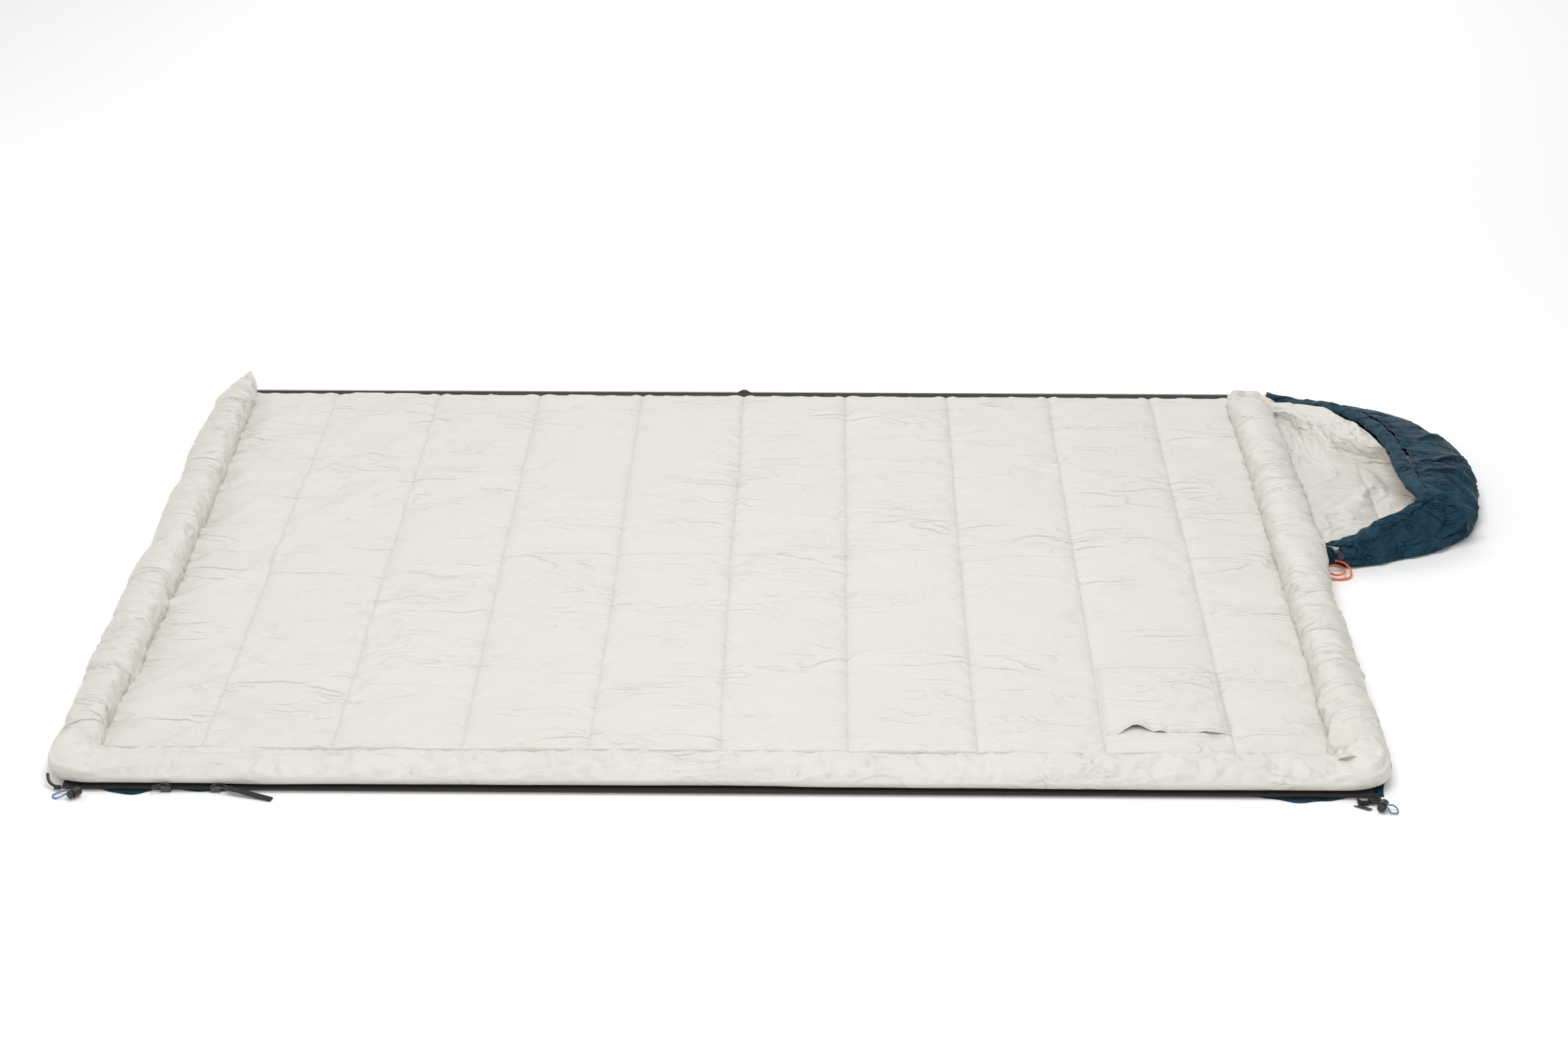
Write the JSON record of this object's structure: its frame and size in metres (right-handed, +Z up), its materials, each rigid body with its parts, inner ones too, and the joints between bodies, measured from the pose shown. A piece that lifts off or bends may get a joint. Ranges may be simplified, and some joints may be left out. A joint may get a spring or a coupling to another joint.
{
  "type": "camp quilt",
  "caption": "Hooded camp quilt: a rectangular sleeping bag unzipped flat, with padded end rolls, zip along both long edges, stash pocket and drawcord hood.",
  "frame": {"origin": "on the ground under the quilt, mid-length, 12 mm on the far side of the centre fold", "axes": "+X towards the head end and hood, +Y towards the far zip edge, +Z up from the shell side to the lining side"},
  "size_m": [2.1898, 1.5417, 0.0862],
  "materials": {
    "lining": "off-white brushed polyester, softly satin",
    "shell": "navy ripstop-like polyester",
    "filling": "hollow-fibre wadding",
    "tape": "black woven tape",
    "coil": "brown-black nylon coil",
    "hardware": "black acetal",
    "black_metal": "black lacquered zinc",
    "spring_steel": "spring steel wire",
    "blue_cord": "thin blue elastic cord",
    "orange_cord": "orange woven cord",
    "strap": "dark translucent strap"
  },
  "bodies": {
    "far_half": {"edge_tab_far": "tape", "far_insulation": "filling", "far_lining": "lining", "far_shell": "shell", "foot_drawcord_far": "blue_cord", "foot_roll_cover_far": "lining", "foot_roll_filling_far": "filling", "head_drawcord_far": "blue_cord", "head_roll_cover_far": "lining", "head_roll_filling_far": "filling", "zip_coil_far": "coil", "zip_insertion_pin": "hardware", "zip_tape_far": "tape", "zip_top_stop_far": "hardware"},
    "near_half": {"foot_cord_loop": "blue_cord", "foot_drawcord_near": "blue_cord", "foot_lock_barrel": "hardware", "foot_lock_spring": "spring_steel", "foot_roll_cover_near": "lining", "foot_roll_filling_near": "filling", "head_cord_loop": "blue_cord", "head_corner_buckle": "hardware", "head_corner_loop": "tape", "head_corner_strap": "strap", "head_drawcord_near": "blue_cord", "head_lock_barrel": "hardware", "head_lock_spring": "spring_steel", "head_roll_cover_near": "lining", "head_roll_filling_near": "filling", "near_insulation": "filling", "near_lining": "lining", "near_shell": "shell", "pocket_panel": "lining", "pocket_seam": "lining", "zip_coil_near": "coil", "zip_retainer_box": "hardware", "zip_tape_near": "tape", "zip_top_stop_near": "hardware", "zip_tube_cover": "lining", "zip_tube_filling": "filling"},
    "hood": {"hood_drawcord": "blue_cord", "hood_insulation": "filling", "hood_lining": "lining", "hood_lock_barrel": "hardware", "hood_lock_spring": "spring_steel", "hood_pull_cord": "orange_cord", "hood_rim_channel": "shell", "hood_shell": "shell"},
    "lower_slider": {"lower_slider_body": "black_metal"},
    "lower_pull": {"lower_slider_pull_ring": "black_metal"},
    "upper_slider": {"upper_slider_body": "black_metal"},
    "upper_pull": {"upper_slider_pull_ring": "black_metal", "upper_slider_pull_tab": "tape"},
    "foot_lock_button": {"foot_lock_push_button": "hardware"},
    "head_lock_button": {"head_lock_push_button": "hardware"},
    "hood_lock_button": {"hood_lock_push_button": "hardware"}
  },
  "joints": [
    {"name": "centre_fold", "type": "hinge", "parent": "far_half", "child": "near_half", "pos_m": [0, -0.012, 0.0635], "axis": [-1, 0, 0], "range_deg": [0, 180]},
    {"name": "hood_tip_up", "type": "hinge", "parent": "far_half", "child": "hood", "pos_m": [0.939, 0.345, 0.02], "axis": [0, -1, 0], "range_deg": [0, 60]},
    {"name": "lower_slider_travel", "type": "slide", "parent": "near_half", "child": "lower_slider", "axis": [1, 0, 0], "range_m": [-0.085, 0.02]},
    {"name": "lower_pull_swing", "type": "hinge", "parent": "lower_slider", "child": "lower_pull", "pos_m": [-0.7632, -0.7545, 0.00945], "axis": [-0.2924, 0.9563, 0], "range_deg": [0, 165]},
    {"name": "upper_slider_travel", "type": "slide", "parent": "near_half", "child": "upper_slider", "axis": [1, 0, 0], "range_m": [-0.02, 1.47]},
    {"name": "upper_pull_swing", "type": "hinge", "parent": "upper_slider", "child": "upper_pull", "pos_m": [-0.6918, -0.7545, 0.00945], "axis": [-0.2924, -0.9563, 0], "range_deg": [0, 140]},
    {"name": "foot_lock_press", "type": "slide", "parent": "near_half", "child": "foot_lock_button", "axis": [0.6, 0.8, 0], "range_m": [0, 0.003], "stiffness_N_per_m": 300, "springref_m": -0.001},
    {"name": "head_lock_press", "type": "slide", "parent": "near_half", "child": "head_lock_button", "axis": [0.42, 0.9075, 0], "range_m": [0, 0.003], "stiffness_N_per_m": 300, "springref_m": -0.001},
    {"name": "hood_lock_press", "type": "slide", "parent": "hood", "child": "hood_lock_button", "axis": [-0.1005, 0.9744, -0.2009], "range_m": [0, 0.003], "stiffness_N_per_m": 300, "springref_m": -0.001}
  ]
}
